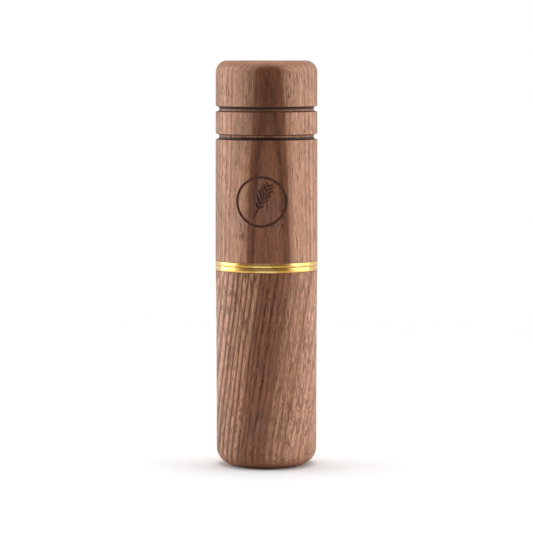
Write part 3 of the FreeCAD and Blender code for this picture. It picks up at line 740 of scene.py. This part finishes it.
def reed_film():
    """Frosted polyester film, with the fine lines that sanding leaves along it."""
    material, tree, shader, scaled = new_material("frosted_film")
    touch = place_group(tree, "Handling", {"Vector": scaled, "Scratch Scale": 1.5})
    sanding = noise(tree, stretch(tree, scaled, (1, 1, 0.03)), 5.0, 2.0, 0.7)
    sanded = fade(tree, sanding, 0.3, 0.7)
    colour = blend_colours(tree, sanded, opaque("DCE0DC"), opaque("E6E9E5"))
    smears = fade(tree, touch["Smears"], 0.3, 0.7, 0.24, 0.36)
    rough = sum_up(tree, "MULTIPLY_ADD", sanding, 0.1, smears)
    shader.inputs["Alpha"].default_value = 0.6
    surface(tree, shader, colour, rough, sanding, 0.12, 0.01)
    return material


def cork_material():
    """Cut cork: pale cells, darker grains between them and dark crumbling specks."""
    material, tree, shader, scaled = new_material("cut_cork")
    cells = add_node(tree, "ShaderNodeTexVoronoi", {"Vector": scaled, "Scale": 0.9}).outputs
    grain = noise(tree, scaled, 2.4, 4.0, 0.65)
    grained = fade(tree, grain, 0.35, 0.65)
    colour = blend_colours(tree, grained, opaque("A5794C"), opaque("CBA273"))
    tone = add_node(tree, "ShaderNodeSeparateXYZ", {0: cells["Color"]}).outputs["X"]
    colour = blend_colours(tree, sum_up(tree, "MULTIPLY", tone, 0.4), colour, opaque("8A5F38"))
    specks = fade(tree, noise(tree, scaled, 1.3, 3.0, 0.7), 0.6, 0.7)
    colour = blend_colours(tree, specks, colour, opaque("4A2F1C"))
    shader.inputs["Specular IOR Level"].default_value = 0.25
    surface(tree, shader, colour, fade(tree, grain, 0.3, 0.7, 0.95, 0.75), grain, 0.7, 0.1)
    return material


def seal_rubber():
    """Black nitrile, dulled by dust in its fine texture."""
    material, tree, shader, scaled = new_material("black_nitrile")
    touch = place_group(tree, "Handling", {"Vector": scaled, "Scratch Scale": 2.0})
    dust = fade(tree, noise(tree, scaled, 3.0, 4.0, 0.7), 0.5, 0.75, 0.0, 0.35)
    colour = blend_colours(tree, dust, opaque("141414"), opaque("55524E"))
    rough = fade(tree, touch["Smears"], 0.3, 0.7, 0.42, 0.62)
    surface(tree, shader, colour, rough, noise(tree, scaled, 9.0, 2.0), 0.4, 0.02)
    return material


# ---------------------------------------------------------------- pieces


def wall_radius(settings, height):
    """Radius of the barrel's gently tapering wall at a height."""
    barrel = settings.barrel
    foot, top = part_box("barrel_band")[1].z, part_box("barrel")[1].z
    return barrel.foot_radius + (barrel.top_radius - barrel.foot_radius) * (height - foot) / (top - foot)


def cord_groove(settings, height):
    """Corners of a round-floored groove, from its lower edge to its upper one."""
    barrel, eased = settings.barrel, settings.turning.eased_edge
    low, high = height - barrel.groove_half_width, height + barrel.groove_half_width
    return [
        (wall_radius(settings, low), low, eased),
        (barrel.groove_floor, low, barrel.groove_round),
        (barrel.groove_floor, high, barrel.groove_round),
        (wall_radius(settings, high), high, eased),
    ]


def barrel_corners(settings):
    """Corners of the barrel's section: seat, outside, dished mouthpiece and bore."""
    barrel, turning = settings.barrel, settings.turning
    foot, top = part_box("barrel")[0].z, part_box("barrel")[1].z
    band_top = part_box("barrel_band")[1].z
    upper_groove = top - barrel.groove_drop
    chamber = top - barrel.chamber_drop
    rim, throat = (barrel.dish_radius, top), (barrel.mouth_radius, top - barrel.dish_depth)
    return [
        (barrel.bore_radius + barrel.lead_in, foot),
        (turning.seat_radius, foot),
        (turning.seat_radius, band_top),
        (barrel.foot_radius, band_top, turning.wood_edge),
        *cord_groove(settings, upper_groove - barrel.groove_pitch),
        *cord_groove(settings, upper_groove),
        (barrel.top_radius, top, barrel.rim_round),
        (*rim, barrel.dish_edge),
        *arc_between(rim, throat, barrel.dish_curve, 1, 9),
        throat,
        (barrel.mouth_radius, chamber, turning.eased_edge),
        (barrel.bore_radius, chamber),
        (barrel.bore_radius, foot + barrel.lead_in),
    ]


def insert_corners(settings):
    """Corners of the insert's section: foot, outside, seat, socket and exhaust bell."""
    insert, turning = settings.insert, settings.turning
    foot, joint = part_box("insert")[0].z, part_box("insert")[1].z
    band_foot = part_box("insert_band")[0].z
    bell_top = (insert.exhaust_radius, foot + insert.bell_length)
    bell_mouth = (insert.bell_radius, foot)
    return [
        (*bell_mouth, insert.bell_edge),
        (insert.radius, foot, insert.base_round),
        (insert.radius, joint - insert.swell_length),
        (insert.shoulder_radius, band_foot, turning.wood_edge),
        (turning.seat_radius, band_foot),
        (turning.seat_radius, joint),
        (insert.socket_radius, joint),
        (insert.socket_radius, joint - insert.socket_depth),
        (insert.exhaust_radius, joint - insert.socket_depth),
        bell_top,
        *arc_between(bell_top, bell_mouth, insert.bell_curve, 1, 12),
    ]


def band_corners(settings, node):
    """Corners of a brass band with a crowned face and rounded edges."""
    low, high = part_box(node)
    outer = high.x
    bands = settings.bands
    shoulder = outer - bands.crown
    rise = high.z - low.z
    curve = (rise ** 2 / 4 + bands.crown ** 2) / (2 * bands.crown)
    foot, head = (shoulder, low.z), (shoulder, high.z)
    return [
        (settings.turning.seat_radius + BAND_FIT, low.z),
        (*foot, bands.edge / 2),
        *arc_between(foot, head, curve, 1, 6),
        (*head, bands.edge / 2),
        (settings.turning.seat_radius + BAND_FIT, high.z),
    ]


def stroke(name, half_length, half_width, middle, heading, settings):
    """One pointed-oval stroke of the feather, as a prism that passes through the barrel's front.

    middle is the stroke's centre, to the right of and above the emblem's.
    """
    emblem = settings.emblem
    deselect_all()
    bpy.ops.mesh.primitive_cylinder_add(vertices=36, radius=1, depth=1)
    piece = bpy.context.object
    piece.name = name
    edit_all()
    bpy.ops.transform.resize(value=(half_width, half_length, emblem.cutter_depth))
    bpy.ops.transform.rotate(value=-QUARTER_TURN, orient_axis="X", center_override=(0, 0, 0))
    bpy.ops.transform.rotate(value=-heading, orient_axis="Y", center_override=(0, 0, 0))
    place = (middle[0], -wall_radius(settings, emblem.height), emblem.height + middle[1])
    bpy.ops.transform.translate(value=place)
    bpy.ops.object.mode_set(mode="OBJECT")
    return piece


def feather(settings):
    """The quill and its pairs of barbs, longest in the middle."""
    emblem = settings.emblem
    tilt = emblem.tilt
    strokes = [stroke("quill", emblem.quill_length / 2, emblem.quill_width / 2, (0, 0), tilt, settings)]
    for pair in range(emblem.barb_pairs):
        portion = pair / (emblem.barb_pairs - 1)
        root = emblem.quill_length * (emblem.barb_start + emblem.barb_span * portion - 0.5)
        swelling = math.sin(math.pi * (emblem.swell_start + emblem.swell_span * portion))
        reach = emblem.barb_reach * swelling / 2
        for hand in (-1, 1):
            heading = tilt + emblem.barb_lean * hand
            across = math.sin(tilt) * root + math.sin(heading) * reach
            up = math.cos(tilt) * root + math.cos(heading) * reach
            strokes.append(stroke("barb", reach, emblem.barb_width / 2, (across, up), heading, settings))
    return strokes


def emblem_ring(settings):
    """The emblem's border: a turned ring laid on its side across the barrel's front."""
    emblem = settings.emblem
    inner = emblem.radius - emblem.line
    half_depth = emblem.cutter_depth / 2
    corners = [
        (inner, -half_depth), (emblem.radius, -half_depth), (emblem.radius, half_depth), (inner, half_depth),
    ]
    ring = turned("emblem_ring", corners, settings.turning, 96)
    edit_all()
    bpy.ops.transform.rotate(value=QUARTER_TURN, orient_axis="X", center_override=(0, 0, 0))
    bpy.ops.transform.translate(value=(0, -wall_radius(settings, emblem.height), emblem.height))
    bpy.ops.object.mode_set(mode="OBJECT")
    return ring


def emblem_tool(settings, material):
    """All the emblem's strokes as one cutter, ended where the cut's floor is to be."""
    emblem = settings.emblem
    pieces = [emblem_ring(settings), *feather(settings)]
    deselect_all()
    for piece in pieces:
        piece.select_set(True)
    bpy.context.view_layer.objects.active = pieces[0]
    bpy.ops.object.join()
    tool = bpy.context.object
    floor = wall_radius(settings, emblem.height) - emblem.depth
    reach = 1.5 * emblem.radius
    core_corners = [
        (MM, emblem.height - reach), (floor, emblem.height - reach),
        (floor, emblem.height + reach), (MM, emblem.height + reach),
    ]
    core = turned("emblem_core", core_corners, settings.turning)
    for piece in (tool, core):
        piece.data.materials.append(material)
    cut(tool, core, crossing=True)
    return tool


# ---------------------------------------------------------------- stage


def lay_floor(stage, insert):
    """A round pale floor that fades out into the studio's white, open where the call stands on it."""
    deselect_all()
    bpy.ops.mesh.primitive_circle_add(vertices=96, radius=stage.floor_radius, fill_type="NGON")
    floor = bpy.context.object
    floor.name = "floor"
    material, tree, shader, scaled = new_material("pale_floor")
    feed(tree, shader, {"Base Color": FLOOR_TINT, "Roughness": 0.9, "Specular IOR Level": 0.0})
    distance = add_node(tree, "ShaderNodeVectorMath", {0: scaled}, operation="LENGTH").outputs["Value"]
    edge = stage.floor_radius / MM
    shown = fade(tree, distance, edge * 0.55, edge * 0.15)
    foot = (insert.radius - insert.base_round) / MM
    shown = sum_up(tree, "MULTIPLY", shown, sum_up(tree, "GREATER_THAN", distance, foot))
    seen_from_below = add_node(tree, "ShaderNodeNewGeometry").outputs["Backfacing"]
    shown = sum_up(tree, "MULTIPLY", shown, sum_up(tree, "SUBTRACT", 1.0, seen_from_below))
    tree.links.new(shown, shader.inputs["Alpha"])
    floor.data.materials.append(material)


def softbox(scene, name, place, target, size, power):
    """A soft rectangular light that the camera doesn't see."""
    data = bpy.data.lights.new(name, "AREA")
    data.shape = "RECTANGLE"
    data.size, data.size_y = size
    data.energy = power
    lamp = bpy.data.objects.new(name, data)
    lamp.location = place
    lamp.rotation_euler = (Vector(target) - Vector(place)).to_track_quat("-Z", "Y").to_euler()
    lamp.visible_camera = False
    scene.collection.objects.link(lamp)


def hang_lights(scene, stage):
    """Two tall side softboxes, one overhead, and an even white studio round them."""
    middle = (0, 0, stage.light_height)
    for name, place, width, power in (
        ("left_softbox", (-0.6, 0, 0.2), 0.6, stage.left_power),
        ("right_softbox", (0.6, 0, 0.2), 0.6, stage.right_power),
        ("top_softbox", (0, 0.1, 0.9), 0.7, stage.top_power),
    ):
        softbox(scene, name, place, middle, (width, 0.7), power)
    world = bpy.data.worlds.new("studio")
    world.use_nodes = True
    tree = world.node_tree
    tree.nodes.clear()
    direction = add_node(tree, "ShaderNodeTexCoord").outputs["Generated"]
    backwards = add_node(tree, "ShaderNodeSeparateXYZ", {0: direction}).outputs["Y"]
    backdrop = fade(tree, backwards, -0.3, 0.7, 0.25, 0.85)
    soft = add_node(tree, "ShaderNodeBackground", {"Color": WHITE, "Strength": backdrop})
    white = add_node(tree, "ShaderNodeBackground", {"Color": WHITE, "Strength": 1.0})
    seen = add_node(tree, "ShaderNodeLightPath").outputs["Is Camera Ray"]
    both = add_node(tree, "ShaderNodeMixShader", {0: seen, 1: soft.outputs[0], 2: white.outputs[0]})
    add_node(tree, "ShaderNodeOutputWorld", {"Surface": both.outputs[0]})
    scene.world = world
    scene.view_settings.view_transform = "Standard"


def aim_camera(scene, stage):
    """The camera, long-lensed and a little above the call's middle."""
    data = bpy.data.cameras.new("camera")
    data.lens = stage.lens
    data.sensor_width = 36
    data.clip_start, data.clip_end = 0.01, 50
    camera = bpy.data.objects.new("camera", data)
    target = Vector((0, 0, stage.aim_height))
    level = math.cos(stage.elevation)
    back = Vector((
        math.sin(stage.azimuth) * level, -math.cos(stage.azimuth) * level, math.sin(stage.elevation),
    ))
    camera.location = target + back * stage.distance
    camera.rotation_euler = (-back).to_track_quat("-Z", "Y").to_euler()
    scene.collection.objects.link(camera)
    scene.camera = camera


# ---------------------------------------------------------------- operators


class DUCKCALL_OT_mix_finishes(bpy.types.Operator):
    """Build the shader groups that the finishes share"""

    bl_idname = "duckcall.mix_finishes"
    bl_label = "Mix Finishes"
    bl_options = {"REGISTER", "UNDO"}

    def execute(self, context):
        handling_group()
        growth_rings_group()
        wood_fibre_group()
        oiled_walnut_group(context.scene.duck_call.walnut)
        groove_shade_group()
        return {"FINISHED"}


class DUCKCALL_OT_turn_barrel(bpy.types.Operator):
    """Turn the walnut barrel and burn the emblem into its front"""

    bl_idname = "duckcall.turn_barrel"
    bl_label = "Turn Barrel"
    bl_options = {"REGISTER", "UNDO"}

    def execute(self, context):
        settings = context.scene.duck_call
        piece = turned("barrel_turned", barrel_corners(settings), settings.turning)
        piece.data.materials.append(barrel_walnut(settings))
        cut(piece, emblem_tool(settings, burnt_walnut(settings)))
        if not any(polygon.material_index for polygon in piece.data.polygons):
            raise RuntimeError("The emblem didn't reach the barrel")
        bpy.ops.object.shade_smooth_by_angle(angle=math.radians(30))
        mount_piece(piece, None, "barrel", "barrel")
        return {"FINISHED"}


class DUCKCALL_OT_turn_insert(bpy.types.Operator):
    """Turn the walnut insert with its exhaust bell"""

    bl_idname = "duckcall.turn_insert"
    bl_label = "Turn Insert"
    bl_options = {"REGISTER", "UNDO"}

    def execute(self, context):
        settings = context.scene.duck_call
        piece = turned("insert_turned", insert_corners(settings), settings.turning)
        mount_piece(piece, insert_walnut(settings), "insert", "insert")
        return {"FINISHED"}


class DUCKCALL_OT_turn_bands(bpy.types.Operator):
    """Turn the two brass bands"""

    bl_idname = "duckcall.turn_bands"
    bl_label = "Turn Bands"
    bl_options = {"REGISTER", "UNDO"}

    def execute(self, context):
        settings = context.scene.duck_call
        metal = brass()
        for node, body in (("barrel_band", "barrel"), ("insert_band", "insert")):
            piece = turned(f"{node}_turned", band_corners(settings, node), settings.turning)
            mount_piece(piece, metal, body, node)
        return {"FINISHED"}


class DUCKCALL_OT_mould_o_rings(bpy.types.Operator):
    """Mould the two O-rings round the tenon"""

    bl_idname = "duckcall.mould_o_rings"
    bl_label = "Mould O-Rings"
    bl_options = {"REGISTER", "UNDO"}

    def execute(self, context):
        settings = context.scene.duck_call
        inner = settings.inner
        rubber = seal_rubber()
        for node in ("lower_o_ring", "upper_o_ring"):
            low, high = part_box(node)
            section = (high.z - low.z) / 2
            middle = Vector((high.x - section, (low.z + high.z) / 2))
            corners = []
            for point in range(inner.ring_points):
                angle = FULL_TURN * point / inner.ring_points
                corners.append(tuple(middle + Vector((math.cos(angle), math.sin(angle))) * section))
            piece = turned(f"{node}_moulded", corners, settings.turning, inner.ring_steps)
            mount_piece(piece, rubber, "seals", node)
        return {"FINISHED"}


class DUCKCALL_OT_cut_cork(bpy.types.Operator):
    """Cut the cork wedge, with soft edges and crumbled pits"""

    bl_idname = "duckcall.cut_cork"
    bl_label = "Cut Cork"
    bl_options = {"REGISTER", "UNDO"}

    def execute(self, context):
        inner = context.scene.duck_call.inner
        deselect_all()
        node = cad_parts["cork_wedge"]
        piece = bpy.data.objects.new("cork_cut", node.data.copy())
        piece.matrix_world = node.matrix_world
        context.collection.objects.link(piece)
        piece.select_set(True)
        context.view_layer.objects.active = piece
        bpy.ops.object.transform_apply(location=True, rotation=True, scale=True)
        edit_all()
        bpy.ops.mesh.remove_doubles(threshold=MM / 1000)
        bpy.ops.mesh.dissolve_limited(angle_limit=math.radians(1))
        bpy.ops.mesh.bevel(offset=inner.cork_edge, segments=3, affect="EDGES", clamp_overlap=True)
        bpy.ops.object.mode_set(mode="OBJECT")
        apply_modifier(piece, "REMESH", "Grain", mode="VOXEL", voxel_size=inner.cork_grain)
        crumbs = bpy.data.textures.new("crumbs", "VORONOI")
        crumbs.noise_scale = inner.cork_crumbs
        apply_modifier(
            piece, "DISPLACE", "Pits", texture=crumbs, texture_coords="LOCAL",
            strength=-inner.cork_pits, mid_level=0.0,
        )
        bpy.ops.object.mode_set(mode="EDIT")
        close_up(60)
        piece.data.materials.clear()
        mount_piece(piece, cork_material(), "insert", "cork_wedge")
        return {"FINISHED"}


class DUCKCALL_OT_finish_board(bpy.types.Operator):
    """Give the tone board and the reeds their finishes"""

    bl_idname = "duckcall.finish_board"
    bl_label = "Finish Board and Reeds"
    bl_options = {"REGISTER", "UNDO"}

    def execute(self, context):
        film = reed_film()
        board = moulded_plastic()
        for node, material in (("tone_board", board), ("long_reed", film), ("short_reed", film)):
            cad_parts[node].material_slots[0].material = material
        return {"FINISHED"}


class DUCKCALL_OT_set_stage(bpy.types.Operator):
    """Lay the pale floor and set the studio lights and the camera"""

    bl_idname = "duckcall.set_stage"
    bl_label = "Set Stage"
    bl_options = {"REGISTER", "UNDO"}

    def execute(self, context):
        stage = context.scene.duck_call.stage
        lay_floor(stage, context.scene.duck_call.insert)
        hang_lights(context.scene, stage)
        aim_camera(context.scene, stage)
        return {"FINISHED"}


# ---------------------------------------------------------------- add-on


STEPS = (
    DUCKCALL_OT_mix_finishes,
    DUCKCALL_OT_turn_barrel,
    DUCKCALL_OT_turn_insert,
    DUCKCALL_OT_turn_bands,
    DUCKCALL_OT_mould_o_rings,
    DUCKCALL_OT_cut_cork,
    DUCKCALL_OT_finish_board,
    DUCKCALL_OT_set_stage,
)


class DUCKCALL_PT_panel(bpy.types.Panel):
    """The steps that build the call, in order"""

    bl_idname = "DUCKCALL_PT_panel"
    bl_label = "Duck Call"
    bl_space_type = "VIEW_3D"
    bl_region_type = "UI"
    bl_category = "Duck Call"

    def draw(self, context):
        for step in STEPS:
            self.layout.operator(step.bl_idname)


SETTINGS = (
    TurningSettings,
    BarrelSettings,
    InsertSettings,
    BandSettings,
    EmblemSettings,
    InnerSettings,
    WalnutSettings,
    StageSettings,
    DuckCallSettings,
)


def register():
    """Adds the settings, the steps and the panel to Blender."""
    for group in (*SETTINGS, *STEPS, DUCKCALL_PT_panel):
        bpy.utils.register_class(group)
    bpy.types.Scene.duck_call = PointerProperty(type=DuckCallSettings)


def unregister():
    """Takes them out again."""
    del bpy.types.Scene.duck_call
    for group in reversed((*SETTINGS, *STEPS, DUCKCALL_PT_panel)):
        bpy.utils.unregister_class(group)


def main():
    """Builds the call step by step."""
    register()
    bpy.ops.duckcall.mix_finishes()
    bpy.ops.duckcall.turn_barrel()
    bpy.ops.duckcall.turn_insert()
    bpy.ops.duckcall.turn_bands()
    bpy.ops.duckcall.mould_o_rings()
    bpy.ops.duckcall.cut_cork()
    bpy.ops.duckcall.finish_board()
    bpy.ops.duckcall.set_stage()


if __name__ == "__main__":
    main()
